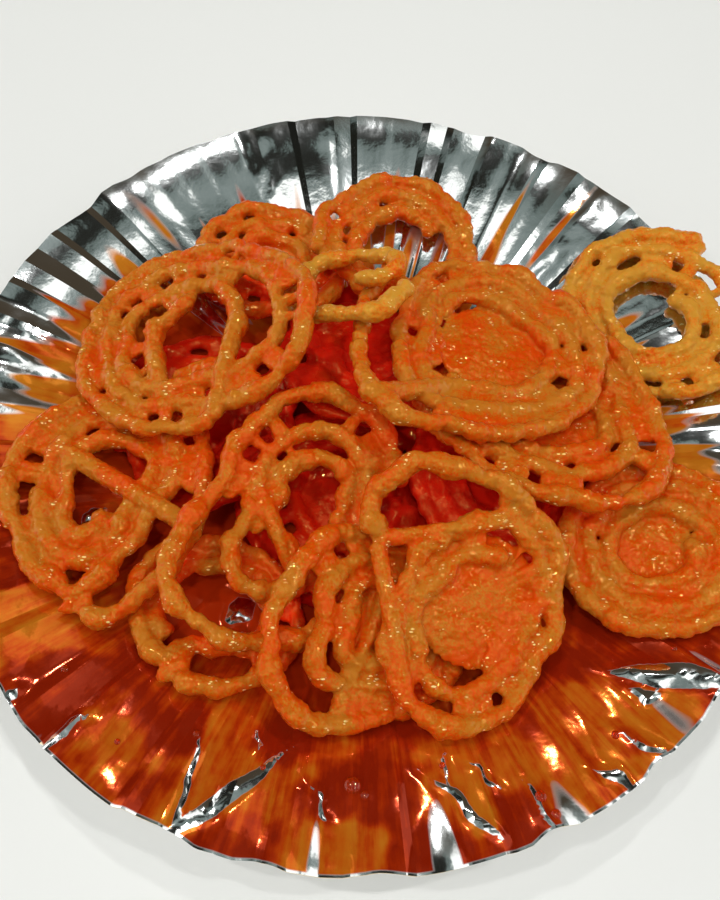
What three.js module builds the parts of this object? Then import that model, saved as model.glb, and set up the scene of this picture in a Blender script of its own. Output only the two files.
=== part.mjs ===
// Jalebi on a foil plate: a pile of piped, fried and syruped sweets on a pleated foil-faced paper plate.
// Millimetres, +Z up, origin at the middle of the plate's underside.
import * as THREE from "three";

// Plate: one round sheet of foil-faced paper, pressed into a flat base and a pleated, flaring wall.
const PLATE_RADIUS = 127;
const BASE_RADIUS = 62;
const RIM_HEIGHT = 21;
const SHEET = 0.6;
const PLEATS = 84;
const PLEAT_DEPTH = 1.5; // half the height of a fold at the rim
const RIM_WAVE = 0.7; // how far the cut edge moves in at a ridge
const WALL_RINGS = [BASE_RADIUS, 78, 103, PLATE_RADIUS];

// Strand: the batter as piped and fried.
const STRAND_HEIGHT = 6;
const STRAND_WIDTH = 6;
const STRAND_SIDES = 6;
const END_TAPER = 0.55; // size of the section at a strand's end
const CLOSE_PITCH = 6.4; // centre to centre where two turns lie side by side
const STATIONS = 18; // stations in one turn
const LEAD = 0.75; // share of the first turn that stays on the outer ring
const ROUNDING = 0.6; // how much of a corner each further turn loses
const OPENING_LENGTH = 0.17; // in turns, how far a gap between two turns reaches either way
const EYE_RADIUS = 4.5; // the piping stops before the eye closes
const LOOSE_STEP = 8; // station to station along a loose stretch

// Pile: how the sweets come to rest on the plate and on each other.
const CONTACT = 6.8; // centre to centre of two strands that cross
const REST_GAP = 0.4; // from a strand to the plate
const MAX_SLOPE = 0.34;
const BEND = 0.0035; // curvature a soft sweet takes, per mm
const SAMPLE = 2.4; // longest step along a strand when looking for what it rests on

// Every jalebi, in the order they are laid down. at: middle of the outer ring. ring: distance from there to the
// outer turn, every 45 degrees from +X. turns, start angle and way round of the piping. open: how many turns along
// the strand keeps further in than usual, and by how much. finish: angles and distances that the last, loose
// stretch runs through. tail: the same for a loose stretch ahead of the outer turn.
const JALEBIS = [
  { name: "base_middle", at: [-4, -22], ring: [31, 33, 30, 29, 31, 33, 32, 30], turns: 2.9, start: 40, way: 1,
    open: [[1.58, 3]], colour: 0xb8400f },
  { name: "base_left", at: [-52, 2], ring: [28, 30, 31, 29, 27, 30, 32, 29], turns: 2.8, start: 200, way: -1,
    open: [[1.36, 2.6]], colour: 0xb8400f },
  { name: "base_right", at: [48, -18], ring: [30, 32, 29, 31, 30, 28, 31, 32], turns: 3, start: 100, way: 1,
    open: [[1.72, 2.6]], colour: 0xb8400f },
  { name: "base_back", at: [4, 30], ring: [29, 31, 30, 28, 30, 32, 31, 29], turns: 2.9, start: 300, way: -1,
    open: [[1.28, 2.6]], colour: 0xb8400f },
  { name: "front_left_low", at: [-41, -64], ring: [25, 23, 22, 24, 22, 21, 19, 22], turns: 1.9, start: 250, way: 1,
    open: [[1.08, 4.6]], colour: 0xc24c12 },
  { name: "front_right_low", at: [88, -41], ring: [27, 26, 26, 26, 28, 26, 23, 25], turns: 3, start: 20, way: 1,
    open: [], colour: 0xcc5c16 },
  { name: "back_left", at: [-34, 62], ring: [24, 24, 23, 24, 24, 24, 24, 24], turns: 2.8, start: 300, way: 1,
    open: [[1.86, 1.6]], colour: 0xcc5c16 },
  { name: "back_middle", at: [9, 71], ring: [27, 27, 27, 25, 26, 27, 25, 26], turns: 2.5, start: 200, way: -1,
    open: [], colour: 0xd2641a },
  { name: "left", at: [-74, -30], ring: [28, 32, 34, 34, 28, 30, 36, 31], turns: 3.2, start: 280, way: 1,
    open: [[1.1, 8.5], [1.64, 3.5]], tail: [[268, 35]], colour: 0xd2641a },
  { name: "centre", at: [-20, -35], ring: [26, 39, 36, 24, 23, 40, 36, 26], turns: 2.3, start: 20, way: 1,
    open: [[1.21, 4.5], [1.6, 9.5]], finish: [[160, 8], [232, 5], [279, 10], [283, 17]], colour: 0xd2641a },
  { name: "right_rim", at: [95, 41], ring: [29, 28, 30, 29, 25, 26, 29, 31], turns: 2.9, start: 80, way: 1,
    open: [[1.83, 4.6]], tail: [[65, 29], [54, 32]], colour: 0xd08a24 },
  { name: "right", at: [56, 7], ring: [32, 32, 35, 35, 37, 34, 36, 43], turns: 3.2, start: 150, way: 1,
    open: [[1.42, 4]], colour: 0xd86a1c },
  { name: "front", at: [6, -65], ring: [26, 29, 26, 25, 26, 32, 25, 24], turns: 3, start: 70, way: 1,
    open: [[1.35, 5.5]], colour: 0xd86a1c },
  { name: "right_top", at: [37, 24], ring: [37, 30, 34, 38, 38, 43, 35, 37], turns: 3.3, start: 140, way: 1,
    open: [[1.15, 7]], colour: 0xd86a1c },
  { name: "small_top", at: [-10, 45], ring: [27, 16, 10, 9, 11, 17, 20, 24], turns: 0.9, start: 336, way: -1,
    open: [], finish: [[353, 17], [323, 8]], colour: 0xd89030 },
  { name: "left_top", at: [-53, 24], ring: [37, 34, 34, 39, 36, 38, 33, 36], turns: 3.35, start: 285, way: -1,
    open: [[1.89, 3], [2.75, 8], [3.3, 3]], finish: [[140, 13], [100, 15]], colour: 0xdc741e },
  { name: "front_top", at: [33, -54], ring: [22, 25, 28, 38, 23, 34, 37, 25], turns: 0.86, start: 160, way: -1,
    open: [], finish: [[180, 19], [160, 16.5], [140, 15.5], [112, 14], [85, 16], [62, 19.5], [38, 19], [14, 18.5],
      [350, 18], [326, 18.5], [302, 22], [280, 27.5], [260, 29], [240, 28], [222, 21.5], [204, 17], [184, 12.5],
      [160, 9], [120, 7.5], [70, 8.5], [30, 11], [350, 11], [315, 11], [280, 15], [245, 15]], colour: 0xdc741e },
];

const degrees = Math.PI / 180;

// --- Plate ---------------------------------------------------------------------------------------------------

function wallShare(radius) {
  return THREE.MathUtils.clamp((radius - BASE_RADIUS) / (PLATE_RADIUS - BASE_RADIUS), 0, 1);
}

// Height of the sheet's underside, without its folds: flat, then an S up to the rim.
function wallRise(radius) {
  const share = wallShare(radius);
  return RIM_HEIGHT * share * share * (3 - 2 * share);
}

function foldHeight(radius) {
  return PLEAT_DEPTH * wallShare(radius);
}

// A ridge and a valley to each pleat, unevenly spaced as hand-fed foil folds are.
function foldAngle(fold) {
  const step = Math.PI / PLEATS;
  return step * (fold + 0.24 * Math.sin(2.4 * fold) + 0.14 * Math.sin(0.9 * fold + 1));
}

function plate() {
  const underside = WALL_RINGS.map((radius) => new THREE.Vector2(radius, wallRise(radius)));
  const topside = underside.map((point) => new THREE.Vector2(point.x, point.y + SHEET)).reverse();
  const profile = [new THREE.Vector2(0, 0), ...underside, ...topside, new THREE.Vector2(0, SHEET)];
  const folds = 2 * PLEATS;
  const geometry = new THREE.LatheGeometry(profile, folds);
  const position = geometry.getAttribute("position");
  for (let index = 0; index < position.count; index += 1) {
    const fold = Math.floor(index / profile.length) % folds;
    const { x: radius, y: height } = profile[index % profile.length];
    const side = fold % 2 === 0 ? 1 : -1;
    const reach = radius - RIM_WAVE * wallShare(radius) * (1 + side) / 2;
    const angle = foldAngle(fold);
    const lift = side * foldHeight(radius);
    position.setXYZ(index, reach * Math.cos(angle), reach * Math.sin(angle), height + lift);
  }
  return geometry;
}

// --- Piping --------------------------------------------------------------------------------------------------

// Radius of the outer turn at any angle: a smooth closed curve through the eight compass distances.
function ringRadius(ring, angle) {
  const count = ring.length;
  const place = THREE.MathUtils.euclideanModulo(angle / (2 * Math.PI), 1) * count;
  const first = Math.floor(place);
  const t = place - first;
  const [a, b, c, d] = [-1, 0, 1, 2].map((step) => ring[(first + step + count) % count]);
  return b + 0.5 * t * (c - a + t * (2 * a - 5 * b + 4 * c - d + t * (3 * (b - c) + d - a)));
}

// How far inside the last turn the strand runs, so many turns along.
function pitchAt(jalebi, along) {
  const wider = ([place, extra]) => extra * Math.exp(-(((along - place) / OPENING_LENGTH) ** 2));
  return jalebi.open.reduce((pitch, gap) => pitch + wider(gap), CLOSE_PITCH);
}

// A loose stretch as seen from above: stations on a smooth curve through the given angles and distances.
function looseStretch(jalebi, places, before, from) {
  const [x, y] = jalebi.at;
  const points = places.map(([angle, distance]) => new THREE.Vector3(
    x + distance * Math.cos(angle * degrees), y + distance * Math.sin(angle * degrees), 0));
  const curve = new THREE.CatmullRomCurve3([before, from, ...points], false, "centripetal");
  const lead = before.distanceTo(from);
  const steps = Math.round((curve.getLength() - lead) / LOOSE_STEP);
  const whole = curve.getLength();
  const stretch = [];
  for (let step = 1; step <= steps; step += 1) {
    stretch.push(curve.getPointAt((lead + (whole - lead) * step / steps) / whole));
  }
  return stretch;
}

// The strand's stations seen from above. Each turn lies inside the last by the pitch, square to the strand.
function pipe(jalebi) {
  const count = Math.round(jalebi.turns * STATIONS);
  const angles = [];
  const radii = [];
  for (let station = 0; station <= count; station += 1) {
    const angle = jalebi.start * degrees + jalebi.way * 2 * Math.PI * station / STATIONS;
    const pitch = pitchAt(jalebi, station / STATIONS);
    let radius;
    if (station < STATIONS) {
      const inset = Math.max(0, station / STATIONS - LEAD) / (1 - LEAD);
      radius = ringRadius(jalebi.ring, angle) - CLOSE_PITCH * inset;
    } else {
      const outer = station - STATIONS;
      const before = radii[Math.max(0, outer - 1)];
      const after = radii[outer + 1] ?? radii[outer];
      const run = radii[outer] * 4 * Math.PI / STATIONS;
      const slant = Math.hypot(1, (after - before) / run);
      const corner = Math.max(0, radii[outer] - (before + after) / 2);
      radius = radii[outer] - pitch * slant - ROUNDING * corner;
      if (radius < EYE_RADIUS) {
        break;
      }
    }
    angles.push(angle);
    radii.push(radius);
  }
  const [x, y] = jalebi.at;
  const turned = radii.map((radius, station) => new THREE.Vector3(
    x + radius * Math.cos(angles[station]), y + radius * Math.sin(angles[station]), 0));
  const tail = looseStretch(jalebi, jalebi.tail ?? [], turned[1], turned[0]).reverse();
  const finish = looseStretch(jalebi, jalebi.finish ?? [], turned.at(-2), turned.at(-1));
  return [...tail, ...turned, ...finish];
}

// --- Pile ----------------------------------------------------------------------------------------------------

function sampled(stations) {
  const samples = [stations[0].clone()];
  for (let index = 1; index < stations.length; index += 1) {
    const from = stations[index - 1];
    const to = stations[index];
    const steps = Math.ceil(from.distanceTo(to) / SAMPLE);
    for (let step = 1; step <= steps; step += 1) {
      samples.push(new THREE.Vector3().lerpVectors(from, to, step / steps));
    }
  }
  return samples;
}

// Lowest height for a strand's centre over the plate, with the folds standing up under it.
function clearOfPlate(radius) {
  const reach = STRAND_HEIGHT / 2 + REST_GAP;
  if (radius > PLATE_RADIUS + reach) {
    return 0;
  }
  const rim = RIM_HEIGHT + SHEET + foldHeight(PLATE_RADIUS);
  if (radius > PLATE_RADIUS) {
    return rim + Math.sqrt(reach * reach - (radius - PLATE_RADIUS) ** 2);
  }
  const outer = Math.max(1, WALL_RINGS.findIndex((ring) => radius <= ring));
  const [from, to] = [WALL_RINGS[outer - 1], WALL_RINGS[outer]];
  const slope = (wallRise(to) - wallRise(from)) / (to - from);
  const underside = wallRise(from) + slope * Math.max(0, radius - from);
  return underside + SHEET + foldHeight(radius) + reach * Math.hypot(1, slope);
}

// Lowest height for a strand's centre over what is already on the plate.
function restingHeight(sample, laid) {
  let height = clearOfPlate(Math.hypot(sample.x, sample.y));
  for (const below of laid) {
    const away = (sample.x - below.x) ** 2 + (sample.y - below.y) ** 2;
    if (away < CONTACT * CONTACT) {
      height = Math.max(height, below.z + Math.sqrt(CONTACT * CONTACT - away));
    }
  }
  return height;
}

// Lowest point of a convex function between two limits.
function lowest(low, high, cost) {
  for (let round = 0; round < 18; round += 1) {
    const third = (high - low) / 3;
    if (cost(low + third) < cost(high - third)) {
      high -= third;
    } else {
      low += third;
    }
  }
  return (low + high) / 2;
}

// The sloped and slightly bent sheet on which a sweet lies lowest without entering what is under it.
function settle(jalebi, stations, laid) {
  const [x, y] = jalebi.at;
  const samples = sampled(stations).map((point) => {
    const [dx, dy] = [point.x - x, point.y - y];
    return { dx, dy, needed: restingHeight(point, laid) };
  });
  const rise = (sheet, dx, dy) => sheet.slopeX * dx + sheet.slopeY * dy
    + sheet.bendX * dx * dx + sheet.twist * dx * dy + sheet.bendY * dy * dy;
  const measure = (sheet) => {
    let level = -Infinity;
    let total = 0;
    for (const { dx, dy, needed } of samples) {
      const lift = rise(sheet, dx, dy);
      level = Math.max(level, needed - lift);
      total += lift;
    }
    return { level, mean: level + total / samples.length };
  };
  let best = { mean: Infinity };
  for (const bendX of [-BEND, 0, BEND]) {
    for (const bendY of [-BEND, 0, BEND]) {
      for (const twist of [-BEND, 0, BEND]) {
        const tilt = (slopeX, slopeY) => ({ slopeX, slopeY, bendX, bendY, twist });
        const inner = (slopeX) => lowest(-MAX_SLOPE, MAX_SLOPE, (slopeY) => measure(tilt(slopeX, slopeY)).mean);
        const slopeX = lowest(-MAX_SLOPE, MAX_SLOPE, (value) => measure(tilt(value, inner(value))).mean);
        const sheet = tilt(slopeX, inner(slopeX));
        const { level, mean } = measure(sheet);
        if (mean < best.mean) {
          best = { mean, level, sheet };
        }
      }
    }
  }
  return stations.map((point) => {
    const height = best.level + rise(best.sheet, point.x - x, point.y - y);
    return new THREE.Vector3(point.x, point.y, height);
  });
}

// --- Strands -------------------------------------------------------------------------------------------------

// A path that is stepped from station to station instead of by its length.
class Strand extends THREE.Curve {
  constructor(stations) {
    super();
    this.stations = stations;
  }

  getPoint(t, target = new THREE.Vector3()) {
    const place = THREE.MathUtils.clamp(t, 0, 1) * (this.stations.length - 1);
    const index = Math.min(Math.floor(place), this.stations.length - 2);
    return target.lerpVectors(this.stations[index], this.stations[index + 1], place - index);
  }

  getPointAt(u, target) {
    return this.getPoint(u, target);
  }

  getTangentAt(u, target) {
    return this.getTangent(u, target);
  }
}

// Corners above and below, flats at the sides, where the next turn lies.
function strandSection() {
  const section = new THREE.Shape();
  const flat = Math.cos(Math.PI / STRAND_SIDES);
  for (let corner = 0; corner < STRAND_SIDES; corner += 1) {
    const angle = 2 * Math.PI * corner / STRAND_SIDES;
    const across = STRAND_WIDTH / 2 / flat * Math.sin(angle);
    const up = STRAND_HEIGHT / 2 * Math.cos(angle);
    if (corner === 0) {
      section.moveTo(up, across);
    } else {
      section.lineTo(up, across);
    }
  }
  section.closePath();
  return section;
}

// Draws in the section at one end of a strand.
function taper(geometry, end, inward) {
  const position = geometry.getAttribute("position");
  const along = new THREE.Vector3().subVectors(inward, end).normalize();
  const point = new THREE.Vector3();
  for (let index = 0; index < position.count; index += 1) {
    point.fromBufferAttribute(position, index).sub(end);
    if (point.length() < STRAND_WIDTH && Math.abs(point.dot(along)) < 0.01) {
      point.multiplyScalar(END_TAPER).add(end);
      position.setXYZ(index, point.x, point.y, point.z);
    }
  }
}

function strand(stations) {
  const path = new Strand(stations);
  const options = { steps: stations.length - 1, bevelEnabled: false, extrudePath: path };
  const geometry = new THREE.ExtrudeGeometry(strandSection(), options);
  taper(geometry, stations[0], stations[1]);
  taper(geometry, stations.at(-1), stations.at(-2));
  return geometry;
}

// --- The whole -----------------------------------------------------------------------------------------------

const sweetsOnPlate = new THREE.Group();

const foil = new THREE.MeshStandardMaterial({ color: 0xc8ccd0, roughness: 0.15, metalness: 1 });
const plateMesh = new THREE.Mesh(plate(), foil);
plateMesh.name = "plate";
sweetsOnPlate.add(plateMesh);

const laid = [];
for (const jalebi of JALEBIS) {
  const stations = settle(jalebi, pipe(jalebi), laid);
  laid.push(...sampled(stations));
  const material = new THREE.MeshStandardMaterial({ color: jalebi.colour, roughness: 0.25, metalness: 0 });
  const mesh = new THREE.Mesh(strand(stations), material);
  mesh.name = `jalebi_${jalebi.name}`;
  sweetsOnPlate.add(mesh);
}

export default sweetsOnPlate;
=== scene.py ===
"""A heap of jalebi on a pleated foil plate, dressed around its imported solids. Metres, +Z up."""

import math

import bmesh
import bpy
import numpy as np
from mathutils import Matrix, Vector, kdtree, noise


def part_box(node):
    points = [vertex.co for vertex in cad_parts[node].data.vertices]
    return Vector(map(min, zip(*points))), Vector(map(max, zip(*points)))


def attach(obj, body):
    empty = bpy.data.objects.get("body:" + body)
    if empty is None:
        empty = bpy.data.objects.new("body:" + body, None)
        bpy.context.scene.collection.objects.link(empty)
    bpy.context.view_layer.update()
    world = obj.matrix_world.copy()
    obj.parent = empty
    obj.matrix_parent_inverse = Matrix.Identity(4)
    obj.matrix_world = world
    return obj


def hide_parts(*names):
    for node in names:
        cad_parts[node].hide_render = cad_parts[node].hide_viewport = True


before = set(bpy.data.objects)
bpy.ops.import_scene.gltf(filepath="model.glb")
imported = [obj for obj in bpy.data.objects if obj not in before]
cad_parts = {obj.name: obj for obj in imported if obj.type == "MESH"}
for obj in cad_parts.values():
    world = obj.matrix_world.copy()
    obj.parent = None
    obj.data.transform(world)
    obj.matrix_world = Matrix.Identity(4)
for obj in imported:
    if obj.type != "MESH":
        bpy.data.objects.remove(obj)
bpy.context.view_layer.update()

# --- Camera -------------------------------------------------------------------------------------------------
# The plate is looked at from above its near edge, as by someone about to take a sweet. The view leans a
# little to the right, as a hand-held one does.

MM = 0.001
IMAGE_HEIGHT = 900
FOCAL_LENGTH = 760  # in the image's own steps
CAMERA_DISTANCE = 251.7 * MM
CAMERA_ELEVATION = math.radians(64.44)
CAMERA_ROLL = math.radians(2.13)
CAMERA_TARGET = Vector((0, -4 * MM, 0))

sight = bpy.data.cameras.new("sight")
sight.sensor_width = 36
sight.lens = sight.sensor_width * FOCAL_LENGTH / IMAGE_HEIGHT
sight.clip_start = 0.01
backward = Vector((0, -math.cos(CAMERA_ELEVATION), math.sin(CAMERA_ELEVATION)))
turn = Matrix.Rotation(math.pi / 2 - CAMERA_ELEVATION, 4, "X") @ Matrix.Rotation(CAMERA_ROLL, 4, "Z")
camera = bpy.data.objects.new("camera", sight)
camera.matrix_world = Matrix.Translation(CAMERA_TARGET + CAMERA_DISTANCE * backward) @ turn
bpy.context.collection.objects.link(camera)
bpy.context.scene.camera = camera

# --- Piped batter -------------------------------------------------------------------------------------------
# Jalebi batter is squeezed from a cloth into hot oil, in shrinking turns of one strand. The strand swells
# and wanders as it fries, and sticks to the turn beside it. Each one follows the middle line of its solid.

UP = Vector((0, 0, 1))
END_EDGE = 2.0 * MM  # out at its first end a solid has no edge as short as those of its end face
CORNERS = 6
STEP = 0.9 * MM
STRAND_WIDTH = 5.7 * MM
STRAND_FLATNESS = 1.0  # height for width
PRESSED_FLATNESS = 0.8  # of the lowest sweets, which carry the heap
SWAYS = ((1.0, 5 * MM), (2.4, 13 * MM))  # how far a strand wanders, in mm, over humps of what length
LIFT, LIFT_LENGTH = 0.9, 8 * MM
SWELLS = ((0.3, 3 * MM), (0.45, 9 * MM))  # how much thicker and thinner it gets, over what length
OVAL_POINTS = 12
BLUNT, TAPER = 0.5 * MM, 2.5 * MM  # how blunt a strand's end is, and how far it gets thinner
BAR_RISE = 1.2 * MM
WEB_FLATNESS = 0.42
WEB_DROP = 0.3 * MM
WEB_BREAK = 3 * MM
WEB_LEAST = 0.25  # a groove that is filled less than this stays an open slit
WEB_WAVES = ((1.3, 12 * MM), (0.5, 4 * MM))
SKIN_FLATNESS = 0.09
SKIN_SAG = 1.8 * MM
SKIN_ROWS = 8  # on each side of its middle
BESIDE = 11 * MM  # how far off the next turn may be and still be stuck on
TURN_APART = 20  # steps along the strand, at least, between two turns


def strand_middle(node):
    """The middle of each ring of corners of a strand's solid, from its outer end to its eye."""
    solid = bmesh.new()
    solid.from_mesh(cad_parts[node].data)
    bmesh.ops.remove_doubles(solid, verts=solid.verts, dist=0.01 * MM)
    solid.verts.index_update()
    centre = sum((corner.co for corner in solid.verts), Vector()) / len(solid.verts)
    short = [edge for edge in solid.edges if edge.calc_length() < END_EDGE]
    outermost = max(short, key=lambda edge: (edge.verts[0].co - centre).length)
    ring = set(outermost.verts)
    for _ in range(CORNERS):
        ring |= {corner for edge in short if ring & set(edge.verts) for corner in edge.verts}
    middles, passed = [], set()
    while ring:
        corners = sorted(ring, key=lambda corner: corner.index)
        middles.append(sum((corner.co for corner in corners), Vector()) / len(corners))
        passed |= ring
        ring = {edge.other_vert(corner) for corner in ring for edge in corner.link_edges} - passed
    solid.free()
    return middles


def facing(middles):
    """The way up of the sheet that a strand lies in."""
    centre = sum(middles, Vector()) / len(middles)
    return sum(((a - centre).cross(b - centre) for a, b in zip(middles, middles[1:])), Vector()).normalized()


def wave(along, length, seed):
    """Smooth noise from -1 to 1 along a strand, with humps about as long as the given length."""
    return noise.noise(Vector((along / length, seed * 7.31, seed * 3.17)))


def waves(sizes, along, seed, start=0):
    """The sum of waves of the given sizes and lengths, on top of a start value."""
    return sum((size * wave(along, length, seed + step) for step, (size, length) in enumerate(sizes)), start)


def piped(middles, seed):
    """Points and half widths along a strand that swells and wanders, and each given point's index in it."""
    padded = [2 * middles[0] - middles[1], *middles, 2 * middles[-1] - middles[-2]]
    path, marks = [], []
    for a, b, c, d in zip(padded, padded[1:], padded[2:], padded[3:]):
        steps = max(1, round((c - b).length / STEP))
        marks.append(len(path))
        for t in (index / steps for index in range(steps)):
            bend = (2 * a - 5 * b + 4 * c - d) + (3 * b - 3 * c + d - a) * t
            path.append(b + 0.5 * t * (c - a + bend * t))
    marks.append(len(path))
    path.append(middles[-1].copy())
    strand = []
    for index, point in enumerate(path):
        along = index * STEP
        ahead = path[min(index + 1, len(path) - 1)] - path[max(index - 1, 0)]
        side = ahead.cross(UP).normalized()
        sway = waves(SWAYS, along, seed)
        lift = LIFT * wave(along, LIFT_LENGTH, seed + 2)
        swell = waves(SWELLS, along, seed + 3, 1)
        strand.append((point + (side * sway + UP * lift) * MM, STRAND_WIDTH / 2 * swell))
    return strand, marks


def bar(strand, start, stop):
    """A straight run laid across the strand from one of its points to another, over what lies between."""
    (first, first_radius), (last, last_radius) = strand[start], strand[stop]
    steps = max(3, round((last - first).length / STEP))
    run = []
    for index in range(steps + 1):
        share = index / steps
        point = first.lerp(last, share)
        below = [other.z for other, radius in strand if (other.xy - point.xy).length < radius]
        rise = max(below, default=point.z) - point.z
        point.z += max(0, rise + BAR_RISE) * min(1, 4 * share, 4 * (1 - share)) if below else 0
        run.append((point, first_radius + (last_radius - first_radius) * share))
    heights = [point.z for point, _ in run]
    for index in range(1, steps):
        near = heights[max(0, index - 3):index + 4]
        run[index][0].z = sum(near) / len(near)
    return run


def skin(turn, plane):
    """A thin round film of batter across the opening inside one turn of the strand."""
    centre = sum((point for point, _ in turn), Vector()) / len(turn)
    reach = sum((point - centre).length for point, _ in turn) / len(turn)
    run = []
    for share in (index / SKIN_ROWS - 1 for index in range(2 * SKIN_ROWS + 1)):
        off = reach * share
        middle = centre + Vector((off, 0, -off * plane.x / plane.z)) - UP * SKIN_SAG
        run.append((middle, reach * math.sqrt(max(0.05, 1 - share * share))))
    return run


def stuck(strand, webbing, seed):
    """Runs of batter that fill the groove between each turn and the one outside it, with slits left open."""
    tree = kdtree.KDTree(len(strand))
    for index, (point, _) in enumerate(strand):
        tree.insert(point, index)
    tree.balance()
    runs = [[]]
    for index, (point, _) in enumerate(strand):
        found = tree.find_range(point, BESIDE)
        near = [(gap, other) for _, other, gap in found if index - other > TURN_APART]
        fill = waves(WEB_WAVES, index * STEP, seed + 5, webbing)
        if not near or fill < WEB_LEAST:
            runs.append([])
            continue
        gap, other = min(near)
        middle = (point + strand[other][0]) / 2 - UP * WEB_DROP
        if runs[-1] and (runs[-1][-1][0] - middle).length > WEB_BREAK:
            runs.append([])
        runs[-1].append((middle, (gap / 2 + WEB_DROP) * min(1, 0.5 + fill)))
    return [run for run in runs if len(run) > 3]


def swept(name, runs, flatness, plane):
    """One mesh of an oval tube along every run, each oval lying flat in the plane."""
    outline = bpy.data.curves.new(name, "CURVE")
    outline.dimensions = "2D"
    oval = outline.splines.new("POLY")
    oval.use_cyclic_u = True
    oval.points.add(OVAL_POINTS - 1)
    for index, knot in enumerate(oval.points):
        angle = 2 * math.pi * index / len(oval.points)
        knot.co = (math.cos(angle), flatness * math.sin(angle), 0, 1)
    section = bpy.data.objects.new(name, outline)
    curve = bpy.data.curves.new(name, "CURVE")
    curve.dimensions = "3D"
    curve.twist_mode = "Z_UP"
    curve.bevel_mode = "OBJECT"
    curve.bevel_object = section
    curve.use_fill_caps = True
    for run in runs:
        spline = curve.splines.new("POLY")
        spline.points.add(len(run) - 1)
        for index, (knot, (point, radius)) in enumerate(zip(spline.points, run)):
            ahead = run[min(index + 1, len(run) - 1)][0] - run[max(index - 1, 0)][0]
            left = UP.cross(ahead).normalized()
            to_end = min(index, len(run) - 1 - index) * STEP
            knot.co = (*point, 1)
            knot.radius = radius * math.sqrt(min(1, (to_end + BLUNT) / TAPER))
            knot.tilt = math.atan2(-plane.dot(left), plane.z)
    tubes = bpy.data.objects.new(name, curve)
    for made in (section, tubes):
        bpy.context.collection.objects.link(made)
    mesh = bpy.data.meshes.new_from_object(tubes.evaluated_get(bpy.context.evaluated_depsgraph_get()))
    for made in (section, tubes):
        bpy.data.objects.remove(made)
    return mesh


def finished(piece):
    """Puts the result of the piece's modifiers in its mesh."""
    view = bpy.context.evaluated_depsgraph_get()
    mesh = bpy.data.meshes.new_from_object(piece.evaluated_get(view))
    piece.modifiers.clear()
    piece.data = mesh
    mesh.shade_smooth()


def displace(piece, texture, strength, level=0.5):
    """Moves the surface in or out by a texture, at its own scale in the piece's space."""
    relief = piece.modifiers.new(texture.name, "DISPLACE")
    relief.texture = texture
    relief.texture_coords = "LOCAL"
    relief.strength = strength
    relief.mid_level = level


lumps = bpy.data.textures.new("lumps", "CLOUDS")
lumps.noise_scale = 2 * MM
lumps.noise_depth = 2
blisters = bpy.data.textures.new("blisters", "VORONOI")
blisters.noise_scale = 1.7 * MM
RELIEF = {False: (4, 1.0, -0.4), True: (16, 0.4, -0.1)}  # soaked: rounds of softening, lumps, blisters in mm


def fried(name, sweeps, plane, grain, soaked):
    """The sweeps fused into one lumpy body of facets as wide as the grain; a soaked one is smoother."""
    rounds, lump, blister = RELIEF[soaked]
    loose = bmesh.new()
    for flatness, runs in sweeps.items():
        if runs:
            loose.from_mesh(swept(name, runs, flatness, plane))
    mesh = bpy.data.meshes.new(name)
    loose.to_mesh(mesh)
    loose.free()
    piece = bpy.data.objects.new(name, mesh)
    bpy.context.collection.objects.link(piece)
    fuse = piece.modifiers.new("fuse", "REMESH")
    fuse.mode = "VOXEL"
    fuse.voxel_size = grain
    soften = piece.modifiers.new("soften", "SMOOTH")
    soften.factor = 0.5
    soften.iterations = rounds
    displace(piece, lumps, lump * MM)
    displace(piece, blisters, blister * MM, level=0.4)
    ease = piece.modifiers.new("ease", "SMOOTH")
    ease.factor = 0.5
    ease.iterations = 1
    finished(piece)
    return piece


# --- Jalebi -------------------------------------------------------------------------------------------------
# Every sweet of the heap, bottom ones first, each laid on those before it. Fried batter is golden and turns
# orange as it soaks up syrup, and dry stretches stay yellow. What lies deep under the heap's top is given a
# dark red
# colour: painted shade, with a painted glow of light that passes through the sweets above.

SWEETS = {
    # name: grain of the mesh in mm, how golden, how far the turns are stuck together, then in points of the
    # solid's middle line the stretch that is missing, the bars laid across, and the turns with a skin inside
    "base_middle": (0.7, 0.0, 1.6, None, (), ((-19, -1),)),
    "base_left": (0.7, 0.0, 1.6, None, (), ((-19, -1),)),
    "base_right": (0.7, 0.0, 1.6, None, (), ((-19, -1),)),
    "base_back": (0.7, 0.0, 1.6, None, (), ((-19, -1),)),
    "front_left_low": (0.55, 0.3, 1.0, None, (), ()),
    "front_right_low": (0.55, 0.45, 1.5, None, (), ((-19, -1),)),
    "back_left": (0.55, 0.5, 1.0, None, (), ((-19, -1),)),
    "back_middle": (0.5, 0.6, 1.0, None, (), ()),
    "left": (0.5, 0.4, 0.75, None, ((4, 30),), ()),
    "centre": (0.5, 0.35, 0.6, None, ((24, 45),), ()),
    "right_rim": (0.5, 1.0, 0.85, None, (), ()),
    "right": (0.5, 0.55, 0.95, None, (), ((40, 58),)),
    "front": (0.5, 0.45, 1.1, (52, 55), ((18, 27),), ((36, 54),)),
    "right_top": (0.5, 0.75, 1.1, (54, 60), ((4, 41),), ((41, 59),)),
    "small_top": (0.45, 1.0, 0.4, None, (), ()),
    "left_top": (0.5, 0.6, 0.55, (52, 57), ((51, 0), (58, 38)), ()),
    "front_top": (0.5, 0.5, 0.9, (37, 42), ((0, 14), (0, 22)), ((19, 37),)),
}
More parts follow.
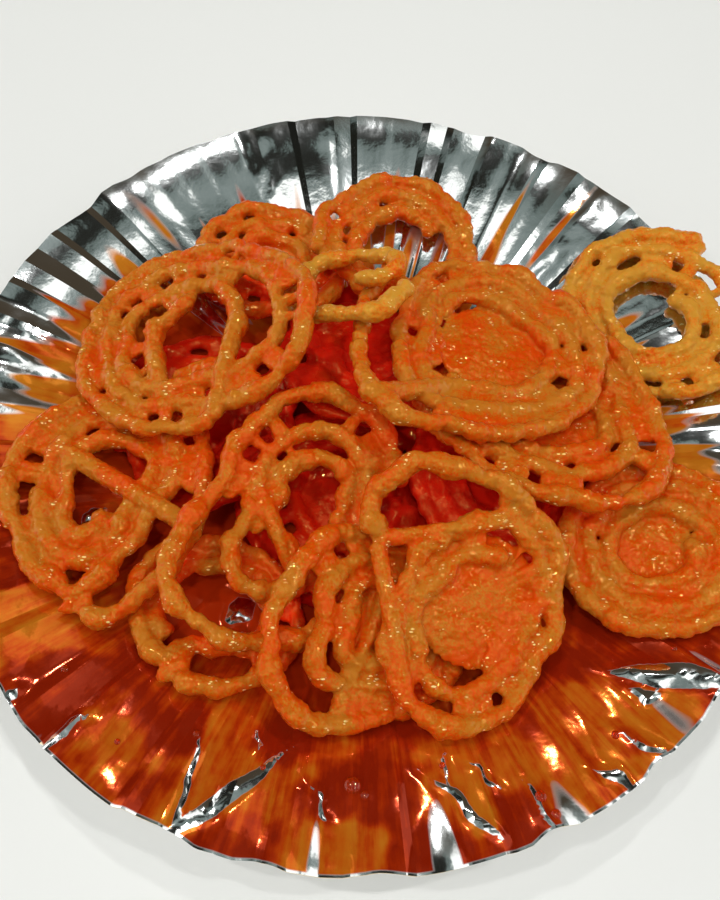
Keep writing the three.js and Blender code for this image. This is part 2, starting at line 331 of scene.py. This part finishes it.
# How much lower a sweet lies than its solid, in mm, once it and those under it have soaked and sagged.
SETTLED = {"base_back": 0.5, "base_left": 0.3, "front_left_low": 0.2, "front_right_low": 0.7,
           "back_left": 0.6, "back_middle": 0.6, "centre": 0.8, "left": 0.9, "right_rim": 0.4, "right": 0.5,
           "front": 0.8, "right_top": 0.6, "small_top": 1.2, "left_top": 2.0, "front_top": 0.9}
CELL = 2 * MM  # of the map of how high the heap stands
HALF_CELLS = 70
COVER_ROUNDS = 5
RIDGE_REACH = 1.25  # in half widths of the strand
SHADE_START, SHADE_REACH = 3 * MM, 15 * MM  # painted shade: how far under the heap's top a place starts to darken, and over what depth

ways_up, strands, marks, seeds = {}, {}, {}, {}
cover = np.zeros((2 * HALF_CELLS, 2 * HALF_CELLS))
for number, name in enumerate(SWEETS):
    seeds[name] = 11 * number + 1
    middles = [middle - UP * SETTLED.get(name, 0) * MM for middle in strand_middle(f"jalebi_{name}")]
    way_up = facing(middles)
    ways_up[name] = way_up if way_up.z > 0 else -way_up
    strands[name], marks[name] = piped(middles, seeds[name])
    for point, radius in strands[name]:
        across, up = (math.floor(place / CELL) + HALF_CELLS for place in point.xy)
        patch = cover[across - 1:across + 2, up - 1:up + 2]
        np.maximum(patch, point.z + radius, out=patch)
for _ in range(COVER_ROUNDS):
    cover = sum(np.roll(cover, (i, j), (0, 1)) for i in (-1, 0, 1) for j in (-1, 0, 1)) / 9


def mark(piece, runs, golden):
    """Gives each point of a sweet how near a strand's top it is, how deep under the heap's top it lies, for
    painted shade and glow, and how golden it is.
    """
    strand = [knot for run in runs for knot in run]
    tree = kdtree.KDTree(len(strand))
    for index, (point, _) in enumerate(strand):
        tree.insert(point, index)
    tree.balance()
    mesh = piece.data
    places = np.empty(len(mesh.vertices) * 3, np.float32)
    mesh.vertices.foreach_get("co", places)
    places = places.reshape(-1, 3)
    off = np.empty(len(places))
    for index, place in enumerate(places.tolist()):
        middle, nearest, _ = tree.find(place)
        off[index] = math.hypot(place[0] - middle.x, place[1] - middle.y) / strand[nearest][1]
    cells = places[:, :2] / CELL + HALF_CELLS - 0.5
    low = np.floor(cells).astype(int)
    part = cells - low
    above = sum(cover[low[:, 0] + i, low[:, 1] + j] * abs(1 - i - part[:, 0]) * abs(1 - j - part[:, 1])
                for i in (0, 1) for j in (0, 1))
    values = {"ridge": RIDGE_REACH - off, "depth": (above - places[:, 2] - SHADE_START) / SHADE_REACH,
              "golden": np.full(len(places), golden)}
    for kind, value in values.items():
        layer = mesh.attributes.new(kind, "FLOAT", "POINT")
        layer.data.foreach_set("value", np.clip(value, 0, 1))


def add(tree, kind, inputs=None, **settings):
    """Adds a shader node with settings of its own, and values or links on its inputs."""
    made = tree.nodes.new(kind)
    for name, value in settings.items():
        setattr(made, name, value)
    for name, value in (inputs or {}).items():
        if isinstance(value, bpy.types.NodeSocket):
            tree.links.new(value, made.inputs[name])
        else:
            made.inputs[name].default_value = value
    return made


def sum_of(tree, first, *terms):
    """Adds the given sockets, each times its weight, to a first socket or number."""
    for socket, weight in terms:
        parts = {0: socket, 1: weight, 2: first}
        first = add(tree, "ShaderNodeMath", parts, operation="MULTIPLY_ADD").outputs[0]
    return first


def times(tree, first, second):
    """Multiplies two sockets."""
    return add(tree, "ShaderNodeMath", {0: first, 1: second}, operation="MULTIPLY").outputs[0]


def eased(tree, value, start, stop, low=0.0, high=1.0):
    """Runs from low to high while a value goes from start to stop."""
    limits = {"Value": value, "From Min": start, "From Max": stop, "To Min": low, "To Max": high}
    return add(tree, "ShaderNodeMapRange", limits).outputs[0]


def clouds(tree, where, scale, detail=1.0):
    """Soft noise around one half."""
    return add(tree, "ShaderNodeTexNoise", {"Vector": where, "Scale": scale, "Detail": detail}).outputs["Fac"]


def blend(tree, share, first, second):
    """Mixes two colours."""
    return add(tree, "ShaderNodeMix", {0: share, 6: first, 7: second}, data_type="RGBA").outputs[2]


# Colour, fine relief and dullness of fried batter, from how near a strand's top it is, how deep it lies in
# the heap and how golden it is. The depth paints shade and glow into the colour. Painted glints sit on it as
# small slanting pale dots, in clusters.
crust = bpy.data.node_groups.new("fried_crust", "ShaderNodeTree")
for socket in ("Ridge", "Depth", "Golden"):
    crust.interface.new_socket(socket, in_out="INPUT", socket_type="NodeSocketFloat")
for socket in ("Soaked", "Moist", "Dry", "Deep", "Sugar"):
    crust.interface.new_socket(socket, in_out="INPUT", socket_type="NodeSocketColor")
crust.interface.new_socket("Color", in_out="OUTPUT", socket_type="NodeSocketColor")
for socket in ("Height", "Roughness"):
    crust.interface.new_socket(socket, in_out="OUTPUT", socket_type="NodeSocketFloat")
given = crust.nodes.new("NodeGroupInput").outputs
place = crust.nodes.new("ShaderNodeTexCoord").outputs["Object"]
patches = clouds(crust, place, 80.0)
mottle = clouds(crust, place, 420.0, 2.0)
specks = clouds(crust, place, 1500.0, 2.0)
clusters = clouds(crust, place, 210.0)
ripples = clouds(crust, place, 650.0)
bands = clouds(crust, place, 120.0)
slanted = add(crust, "ShaderNodeMapping", {0: place, 2: (0.3, 0.2, 0.6), 3: (500, 1200, 1000)}).outputs[0]
glint_dots = add(crust, "ShaderNodeTexVoronoi", {"Vector": slanted, "Scale": 1.0})
chosen = add(crust, "ShaderNodeSeparateXYZ", {0: glint_dots.outputs["Color"]}).outputs["X"]
shown = times(crust, given["Ridge"], eased(crust, bands, 0.38, 0.6, 0.15))
dryness = sum_of(crust, -2.62, (shown, 0.65), (given["Golden"], 0.5), (patches, 2.0), (mottle, 1.2),
                 (specks, 2.2))
colour = blend(crust, eased(crust, dryness, 0.0, 0.45), given["Soaked"], given["Moist"])
colour = blend(crust, eased(crust, dryness, 0.4, 1.05), colour, given["Dry"])
# Painted shade and glow: the deeper under the heap's top, the more the colour turns to the deep red.
colour = blend(crust, given["Depth"], colour, given["Deep"])
# Painted glints: pale slanting dots in clusters, painted into the colour.
glint_dots = sum_of(crust, glint_dots.outputs["Distance"], (specks, 0.3), (chosen, 0.25))
sugary = sum_of(crust, clusters, (given["Ridge"], 0.05), (given["Golden"], -0.03))
sugar = times(crust, eased(crust, glint_dots, 0.53, 0.43), eased(crust, sugary, 0.6, 0.66))
colour = blend(crust, sugar, colour, given["Sugar"])
relief = times(crust, sum_of(crust, ripples, (specks, 0.45)), eased(crust, bands, 0.4, 0.55, 1.0, 0.35))
dull = eased(crust, bands, 0.46, 0.56, 0.3, 0.07)
results = crust.nodes.new("NodeGroupOutput").inputs
crust.links.new(colour, results["Color"])
crust.links.new(relief, results["Height"])
crust.links.new(dull, results["Roughness"])


def crust_finish(name, **colours):
    """Fried batter that is soaked with syrup and lets some light through."""
    material = bpy.data.materials.new(name)
    material.use_nodes = True
    tree = material.node_tree
    shader = tree.nodes["Principled BSDF"]
    batter = add(tree, "ShaderNodeGroup", node_tree=crust)
    for kind in ("ridge", "depth", "golden"):
        layer = add(tree, "ShaderNodeAttribute", attribute_name=kind)
        tree.links.new(layer.outputs["Fac"], batter.inputs[kind.title()])
    for kind, colour in colours.items():
        batter.inputs[kind.title()].default_value = (*colour, 1)
    relief = {"Strength": 1.0, "Distance": 0.2 * MM, "Height": batter.outputs["Height"]}
    bump = add(tree, "ShaderNodeBump", relief)
    tree.links.new(batter.outputs["Color"], shader.inputs["Base Color"])
    tree.links.new(batter.outputs["Roughness"], shader.inputs["Roughness"])
    tree.links.new(bump.outputs[0], shader.inputs["Normal"])
    shader.inputs["IOR"].default_value = 1.5
    shader.inputs["Specular Tint"].default_value = (1.0, 0.6, 0.15, 1)
    shader.inputs["Subsurface Weight"].default_value = 0.6
    shader.inputs["Subsurface Radius"].default_value = (1.0, 0.35, 0.1)
    shader.inputs["Subsurface Scale"].default_value = 2.2 * MM
    return material


# In each crust the colour for deep places is painted shade and glow, and the colour of the pale dots is
# painted glints.
crusts = {
    "jalebi_deep": crust_finish("deep_crust", soaked=(0.62, 0.012, 0.002), moist=(0.62, 0.016, 0.002),
                                dry=(0.6, 0.03, 0.003), deep=(0.72, 0.013, 0.004), sugar=(0.7, 0.08, 0.02)),
    "jalebi_amber": crust_finish("amber_crust", soaked=(0.66, 0.062, 0.002), moist=(0.6, 0.094, 0.002),
                                 dry=(0.53, 0.175, 0.014), deep=(1.0, 0.026, 0.004), sugar=(1.0, 0.75, 0.3)),
    "jalebi_gold": crust_finish("gold_crust", soaked=(0.68, 0.09, 0.002), moist=(0.66, 0.19, 0.008),
                                dry=(0.6, 0.28, 0.03), deep=(0.62, 0.04, 0.001), sugar=(1.0, 0.85, 0.4)),
}

for name, (grain, golden, webbing, missing, bars, skins) in SWEETS.items():
    strand, index_of = strands[name], marks[name]
    webs = stuck(strand, webbing, seeds[name])
    runs = [strand]
    if missing:
        start, stop = (index_of[min(station, len(index_of) - 1)] for station in missing)
        runs = [strand[:start], strand[stop:]]
    runs += [bar(strand, index_of[start], index_of[stop]) for start, stop in bars]
    films = [skin(strand[index_of[start]:index_of[stop]], ways_up[name]) for start, stop in skins]
    flatness = PRESSED_FLATNESS if golden == 0 else STRAND_FLATNESS
    sweeps = {flatness: [run for run in runs if len(run) > 3], WEB_FLATNESS: webs, SKIN_FLATNESS: films}
    sweet = fried(f"jalebi_{name}_sweet", sweeps, ways_up[name], grain * MM, soaked=golden == 0)
    mark(sweet, runs, golden)
    slot = "jalebi_gold" if golden == 1.0 else "jalebi_amber"
    # The lowest sweets take the darkest red crust, whose colours are painted shade and glow of the heap's
    # bottom over soaked batter.
    if name.startswith("base"):
        slot = "jalebi_deep"
    sweet.data.materials.append(crusts[slot])
    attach(sweet, "root")
    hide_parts(f"jalebi_{name}")

# --- Foil plate ---------------------------------------------------------------------------------------------
# A round sheet of paper faced with bright foil, pressed between two dies: a flat base and a flaring wall
# that gathers into uneven pleats, some sharp and some nearly flat. Syrup has run over its near half, its
# middle and its left side.

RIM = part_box("plate")[1].x
BASE_RADIUS = 62 * MM
RIM_HEIGHT = 21 * MM
SHEET = 0.6 * MM
FOLDS = 168
PLEAT_DEPTH = 1.5 * MM
RIM_WAVE = 0.7 * MM
FOLD_STEPS = 4  # facets across one side of a pleat
BASE_RINGS = 6
WALL_RINGS = 58
FOLD_KEPT = -0.02  # noise above which a fold line is still sharp; about half of them are
CRINKLE, CRUMPLE, WIDE_FOLD = 0.7 * MM, 0.7 * MM, 2.2 * MM  # small, middling and wide unevenness of the wall
CREASE_BEND = 3 * MM  # how far a crease strays from a straight line
CREASE_SLOPE = 0.35  # how steeply the foil climbs to the middle of a crease
CREASE_FOOT = 1.5 * MM  # how far beside a crease the foil starts to climb
WORN_WIDTH = 3 * MM  # over which bare foil changes to a sound face
SCALLOP = 3 * MM  # how far the rim is drawn in between its tips
EDGE_DROP = 0.5 * MM  # how far the wall sags at the rim
SHARP = math.radians(18)  # bends over this angle stay sharp


def fold_angle(fold):
    """Angle of the ridge or valley of that number; hand-fed folds are unevenly spaced."""
    turns, fold = divmod(fold, FOLDS)
    uneven = 0.24 * math.sin(2.4 * fold) + 0.14 * math.sin(0.9 * fold + 1)
    return 2 * math.pi * (turns + (fold + uneven) / FOLDS)


def stand(index, fold):
    """How far a kept fold line stands up, or down for every other one, from -1 to 1."""
    height = 0.6 + 1.2 * noise.noise(Vector((fold * 0.61, 4, 2)))
    return (1 if index % 2 == 0 else -1) * min(1, max(0.15, height))


# The other fold lines were pressed flat again, which leaves wide facets between those that were kept.
kept = [fold for fold in range(FOLDS) if noise.noise(Vector((fold * 0.83, 1.3, 0.4))) > FOLD_KEPT]
kept = kept[:len(kept) // 2 * 2]
stands = [stand(index, fold) for index, fold in enumerate(kept)]
sides = np.interp(range(FOLDS), kept, stands, period=FOLDS)

CREASES = (
    # Deep creases and rubbed spots, where the foil is bare: the outer end, the inner end and the greatest
    # width, in mm.
    ((-42, -118), (-10, -95), 4.5), ((-42, -117), (-37, -89), 1.5), ((-77, -101), (-64, -88), 2.5),
    ((-24, -99), (-24, -91), 1), ((-4, -116), (-12, -103), 1), ((-90, -89), (-85, -86), 3),
    ((-82, -36), (-77, -29), 5), ((-36, -62), (-29, -54), 8), ((3, -60), (9, -56), 4),
    ((-50, -42), (-38, -47), 5), ((99, -24), (92, -15), 5), ((98, -78), (64, -74), 7),
    ((81, -82), (73, -80), 4), ((81, -96), (66, -90), 1.5), ((71, -105), (61, -100), 3),
    ((38, -117), (17, -101), 2.5), ((25, -105), (27, -93), 1), ((39, -106), (28, -98), 1),
    ((52, -116), (40, -97), 1.5), ((-118, -38), (-98, -36), 3),
)


def crease(place):
    """How far inside the nearest deep crease a place of the wall lies; it is less than none outside."""
    insides = []
    for start, end, width in CREASES:
        start, end = Vector(start) * MM, Vector(end) * MM
        share = min(1, max(0, (place - start).dot(end - start) / (end - start).length_squared))
        bend = CREASE_BEND * noise.noise(Vector((share * 3, start.x * 90, 0))) * math.sin(math.pi * share)
        middle = start.lerp(end, share) + bend * (end - start).orthogonal().normalized()
        half = width / 2 * MM * math.sin(math.pi * min(1, share + 0.15))
        insides.append(half - (place - middle).length)
    return max(insides)


def pleated(radius, fold):
    """Place on the foil face at a radius, so many folds round."""
    share = min(1, max(0, (radius - BASE_RADIUS) / (RIM - BASE_RADIUS)))
    low = math.floor(fold)
    part = fold - low
    angle = (1 - part) * fold_angle(low) + part * fold_angle(low + 1)
    side = (1 - part) * sides[low % FOLDS] + part * sides[(low + 1) % FOLDS]
    around = Vector((math.cos(angle), math.sin(angle), 0))

    # Small crinkles in a few stretches, then dents and wide folds, which are strongest on the near side.
    pinched = min(1, max(0, 3 * noise.noise(around * 3.1 + Vector((2, 0, 7))) - 0.1))
    crinkle = noise.noise(around * 28 + Vector((0, 0, radius / (6 * MM))))
    crumple = noise.noise(around * (radius / (15 * MM)) + Vector((0, 0, 3)))
    folded = abs(noise.noise(around * 6.5 + Vector((0, 0, radius / (38 * MM))))) - 0.2
    nearer = min(1, max(0.15, 0.5 - around.y))
    lift = (PLEAT_DEPTH * share * side * (1.1 - 0.55 * share * share)
            + CRINKLE * crinkle * pinched * min(1, 3 * share) * (1.15 - nearer)
            + (CRUMPLE * crumple + WIDE_FOLD * folded) * share * nearer
            + CREASE_SLOPE * max(0, crease(radius * around.xy) + CREASE_FOOT) * min(1, 5 * share))

    scallop = noise.noise(around * 9) * share * share
    reach = radius - RIM_WAVE * share * (1 + side) / 2 - SCALLOP * max(0, scallop)
    rise = (share + share * share * (3 - 2 * share)) / 2
    height = SHEET + RIM_HEIGHT * rise + lift - EDGE_DROP * share
    return Vector((reach * around.x, reach * around.y, height)), side * share


shape = bmesh.new()
radii = [BASE_RADIUS * ring / BASE_RINGS for ring in range(BASE_RINGS)]
radii += [BASE_RADIUS + (RIM - BASE_RADIUS) * ring / WALL_RINGS for ring in range(WALL_RINGS + 1)]
spoke = [shape.verts.new((radius, 0, 0)) for radius in radii]
for inner, outer in zip(spoke, spoke[1:]):
    shape.edges.new((inner, outer))
bmesh.ops.spin(shape, geom=[*shape.verts, *shape.edges], axis=UP, cent=(0, 0, 0), angle=2 * math.pi,
               steps=FOLDS * FOLD_STEPS, use_merge=True)
bmesh.ops.remove_doubles(shape, verts=shape.verts, dist=0.01 * MM)
spread = shape.loops.layers.uv.new("folds")
for face in shape.faces:
    middle = math.atan2(face.calc_center_median().y, face.calc_center_median().x)
    for loop in face.loops:
        corner = loop.vert.co
        angle = math.atan2(corner.y, corner.x) if corner.length > 0 else middle
        angle += 2 * math.pi * round((middle - angle) / (2 * math.pi))
        loop[spread].uv = (angle * FOLDS / (2 * math.pi), corner.length / RIM)

# Two layers say where the foil is worn bare and how far a fold stands up.
worn = shape.verts.layers.float.new("worn")
raised = shape.verts.layers.float.new("raised")
for corner in shape.verts:
    fold = (math.atan2(corner.co.y, corner.co.x) % (2 * math.pi)) * FOLDS / (2 * math.pi)
    corner.co, corner[raised] = pleated(corner.co.length, fold)
    corner[worn] = min(1, max(0, 0.5 + crease(corner.co.xy) / WORN_WIDTH))

# The foil side looks up, so that the sheet is made thicker downward, with paper under it.
shape.normal_update()
bmesh.ops.reverse_faces(shape, faces=[face for face in shape.faces if face.normal.z < 0])
plate_mesh = bpy.data.meshes.new("plate_foil")
shape.to_mesh(plate_mesh)
shape.free()
plate = bpy.data.objects.new("plate_foil", plate_mesh)
bpy.context.collection.objects.link(plate)


def toned(tree, value, stops):
    """A colour that runs through the given stops, each a value and its colour."""
    ramp = add(tree, "ShaderNodeValToRGB", {0: value})
    ends = ramp.color_ramp.elements[0], ramp.color_ramp.elements[1]
    for end, (position, shade) in zip(ends, (stops[0], stops[-1])):
        end.position, end.color = position, (*shade, 1)
    for position, shade in stops[1:-1]:
        between = ramp.color_ramp.elements.new(position)
        between.color = (*shade, 1)
    return ramp.outputs[0]


SILVER = (0.86, 0.89, 0.88, 1)
POOL_RED = (0.52, 0.035, 0.003, 1)
FILM_TONES = (  # thickness and colour
    (0.1, (0.66, 0.21, 0.012)), (0.45, (0.62, 0.12, 0.006)), (0.62, (0.56, 0.06, 0.003)),
    (0.8, (0.42, 0.026, 0.002)), (1.0, (0.3, 0.015, 0.002)),
)

foil = bpy.data.materials.new("foil")
foil.use_nodes = True
tree = foil.node_tree
shader = tree.nodes["Principled BSDF"]
place = tree.nodes.new("ShaderNodeTexCoord").outputs["Object"]
along = add(tree, "ShaderNodeUVMap", uv_map="folds").outputs[0]
side = add(tree, "ShaderNodeSeparateXYZ", {0: place})
ring = add(tree, "ShaderNodeSeparateXYZ", {0: along})

# Syrup covers the near half, the middle and the left side, and runs up a few folds elsewhere. Creases, worn
# spots and the very edge are bare. On the wall the film is wide near the base and narrow near the rim.
distance = ring.outputs["Y"]
streaks = clouds(tree, add(tree, "ShaderNodeMapping", {0: along, 3: (0.45, 1.2, 1)}).outputs[0], 1.0)
near = eased(tree, side.outputs["Y"], 10 * MM, -45 * MM, 0.0, 0.36)
behind = eased(tree, side.outputs["Y"], 35 * MM, 60 * MM, 1.0, 0.5)
inner = times(tree, eased(tree, distance, 0.92, 0.5, 0.0, 0.34), behind)
left = eased(tree, side.outputs["X"], -60 * MM, -105 * MM, 0.0, 0.12)
brim = eased(tree, distance, 0.8, 0.98)
wet = sum_of(tree, streaks, (near, 1.0), (inner, 1.0), (left, 1.0), (brim, -0.09))
film = times(tree, eased(tree, wet, 0.63, 0.67), eased(tree, distance, 0.997, 0.994))
patchy = clouds(tree, place, 350.0, 2.0)
rubbed = sum_of(tree, add(tree, "ShaderNodeAttribute", attribute_name="worn").outputs["Fac"], (patchy, 0.3))
film = times(tree, film, eased(tree, rubbed, 0.69, 0.63))

# The film is thick and red in the valleys and in the middle, thin and amber on the ridges, and streaky.
pools = eased(tree, clouds(tree, place, 45.0, 2.0), 0.45, 0.56)
runs = clouds(tree, add(tree, "ShaderNodeMapping", {0: along, 3: (2.2, 7.0, 1)}).outputs[0], 1.0, 3.0)
raised = add(tree, "ShaderNodeAttribute", attribute_name="raised").outputs["Fac"]
thickness = sum_of(tree, -0.7, (pools, 0.5), (inner, 0.9), (near, 1.4), (runs, 0.9), (patchy, 0.4),
                   (raised, -0.2))
forward = eased(tree, side.outputs["Y"], 50 * MM, 35 * MM)
pooled = times(tree, eased(tree, distance, 0.72, 0.6), forward)
syrupy = blend(tree, pooled, toned(tree, thickness, FILM_TONES), POOL_RED)
tree.links.new(blend(tree, film, SILVER, syrupy), shader.inputs["Base Color"])

# Bare foil is all metal, and the film over it hides most of that where it is thick.
wrinkles = clouds(tree, place, 300.0, 2.0)
bump = add(tree, "ShaderNodeBump", {"Strength": 0.1, "Distance": 0.5 * MM, "Height": wrinkles})
tree.links.new(bump.outputs[0], shader.inputs["Normal"])
cloudy = sum_of(tree, -0.65, (inner, -0.7))
tree.links.new(sum_of(tree, 1.0, (film, cloudy)), shader.inputs["Metallic"])
shader.inputs["Roughness"].default_value = 0.09
shader.inputs["Specular IOR Level"].default_value = 0.35
shader.inputs["Specular Tint"].default_value = (1.0, 0.75, 0.45, 1)

paper_back = bpy.data.materials.new("paper")
paper_back.use_nodes = True
tree = paper_back.node_tree
fibres = clouds(tree, tree.nodes.new("ShaderNodeTexCoord").outputs["Object"], 900.0, 3.0)
shader = tree.nodes["Principled BSDF"]
tree.links.new(blend(tree, fibres, (0.52, 0.5, 0.46, 1), (0.68, 0.66, 0.62, 1)), shader.inputs["Base Color"])
shader.inputs["Roughness"].default_value = 0.7

plate.data.materials.append(foil)
plate.data.materials.append(paper_back)
backing = plate.modifiers.new("backing", "SOLIDIFY")
backing.thickness = SHEET
backing.material_offset = 1
backing.material_offset_rim = 0
finished(plate)
plate.data.set_sharp_from_angle(angle=SHARP)
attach(plate, "root")
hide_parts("plate")

# --- Syrup drops --------------------------------------------------------------------------------------------
# Drops of sugar syrup that fell beside the sweets and stand on the foil as low domes. They are clear and
# red, a little cloudy, and each is a flattened ball set half into the foil.

DROPS = {  # place on the plate and radius, in mm
    (0, -106.7): 2.2, (49, -108.5): 1.5, (53, -112): 1.3, (4, -109): 1.2, (-40, -96): 1.0,
    (-22, -103): 0.8, (24, -101): 0.9, (70, -92): 1.1, (88, -70): 0.8, (-78, -80): 1.1,
    (-92, -52): 0.9, (-60, -98): 0.8,
}
DROP_FLATNESS = 0.55

shape = bmesh.new()
for (across, up), size in DROPS.items():
    radius = math.hypot(across, up) * MM
    fold = (math.atan2(up, across) % (2 * math.pi)) * FOLDS / (2 * math.pi)
    spot = Matrix.Translation(pleated(radius, fold)[0]) @ Matrix.Diagonal((1, 1, DROP_FLATNESS, 1))
    bmesh.ops.create_icosphere(shape, subdivisions=3, radius=size * MM, matrix=spot)
drops_mesh = bpy.data.meshes.new("syrup_drops")
shape.to_mesh(drops_mesh)
shape.free()
drops_mesh.shade_smooth()
drops = bpy.data.objects.new("syrup_drops", drops_mesh)
bpy.context.collection.objects.link(drops)
syrup = bpy.data.materials.new("syrup")
syrup.use_nodes = True
tree = syrup.node_tree
shader = tree.nodes["Principled BSDF"]
cloudy = clouds(tree, tree.nodes.new("ShaderNodeTexCoord").outputs["Object"], 500.0, 2.0)
clear_red = blend(tree, cloudy, (0.85, 0.05, 0.002, 1), (0.9, 0.12, 0.004, 1))
tree.links.new(clear_red, shader.inputs["Base Color"])
shader.inputs["Roughness"].default_value = 0.02
shader.inputs["IOR"].default_value = 1.45
shader.inputs["Transmission Weight"].default_value = 0.8
drops_mesh.materials.append(syrup)
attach(drops, "root")

# --- Table and light ----------------------------------------------------------------------------------------
# A pale, plain table top in a room with small soft lamps. The foil shows the rest of the room: a grey
# ceiling with dark and lit parts, a dark far wall and bright windows at both sides.

FLOOR_HALF = 1.5
ROOM_SHIFT = (7.3, 2.2, 1.1)  # picks the part of the noise that the ceiling takes
CEILING = ((0.44, (0.008, 0.008, 0.005)), (0.45, (0.11, 0.14, 0.13)),
           (0.62, (0.25, 0.29, 0.28)), (0.64, (1.3, 1.3, 1.27)))
WALL, CORNER = (0.06, 0.045, 0.03, 1), (0.012, 0.012, 0.01, 1)
WINDOW = (1.5, 1.5, 1.47, 1)
BACKDROP = (0.8, 0.79, 0.76, 1)  # what shows straight behind the table
LAMP_DISTANCE = 1.3
LAMPS = (  # degrees round from +X, degrees down from overhead, width and power
    (20, 24, 0.05, 2.2), (95, 30, 0.05, 2.2), (165, 22, 0.05, 2.2), (262, 12, 0.05, 1.85),
    (225, 35, 0.05, 1.5), (320, 34, 0.3, 1.75),
)

floor_mesh = bpy.data.meshes.new("floor")
shape = bmesh.new()
bmesh.ops.create_grid(shape, x_segments=1, y_segments=1, size=FLOOR_HALF)
shape.to_mesh(floor_mesh)
shape.free()
floor = bpy.data.objects.new("floor", floor_mesh)
bpy.context.collection.objects.link(floor)
table = bpy.data.materials.new("table")
table.use_nodes = True
shader = table.node_tree.nodes["Principled BSDF"]
shader.inputs["Base Color"].default_value = (0.85, 0.85, 0.82, 1)
shader.inputs["Roughness"].default_value = 0.5
floor_mesh.materials.append(table)

world = bpy.data.worlds.new("room")
bpy.context.scene.world = world
world.use_nodes = True
room = world.node_tree
outward = room.nodes.new("ShaderNodeTexCoord").outputs["Generated"]
shifted = add(room, "ShaderNodeVectorMath", {0: outward, 1: ROOM_SHIFT}, operation="ADD").outputs[0]
beams = clouds(room, shifted, 3.4, 0.0)
beyond = add(room, "ShaderNodeSeparateXYZ", {0: outward})
sideways = add(room, "ShaderNodeMath", {0: beyond.outputs["X"]}, operation="ABSOLUTE").outputs[0]
wall = blend(room, eased(room, sideways, 0.35, 0.45), WALL, CORNER)
seen = blend(room, eased(room, beyond.outputs["Y"], 0.4, 0.6), toned(room, beams, CEILING), wall)
windows = eased(room, sum_of(room, sideways, (beams, 0.5)), 0.96, 1.0)
seen = blend(room, windows, seen, WINDOW)
direct = room.nodes.new("ShaderNodeLightPath").outputs["Is Camera Ray"]
seen = blend(room, direct, seen, BACKDROP)
room.links.new(seen, room.nodes["Background"].inputs["Color"])
room.nodes["Background"].inputs["Strength"].default_value = 1.0


def lamp(name, place, size, power):
    """A square lamp that faces the plate."""
    light = bpy.data.lights.new(name, "AREA")
    light.size = size
    light.energy = power
    hung = bpy.data.objects.new(name, light)
    hung.location = place
    hung.rotation_euler = Vector(place).to_track_quat("Z", "Y").to_euler()
    bpy.context.collection.objects.link(hung)


for index, (turned, leaning, size, power) in enumerate(LAMPS):
    angle, lean = math.radians(turned), math.radians(leaning)
    toward = Vector((math.cos(angle) * math.sin(lean), math.sin(angle) * math.sin(lean), math.cos(lean)))
    lamp(f"lamp_{index}", LAMP_DISTANCE * toward, size, power)

bpy.context.scene.view_settings.view_transform = "Standard"
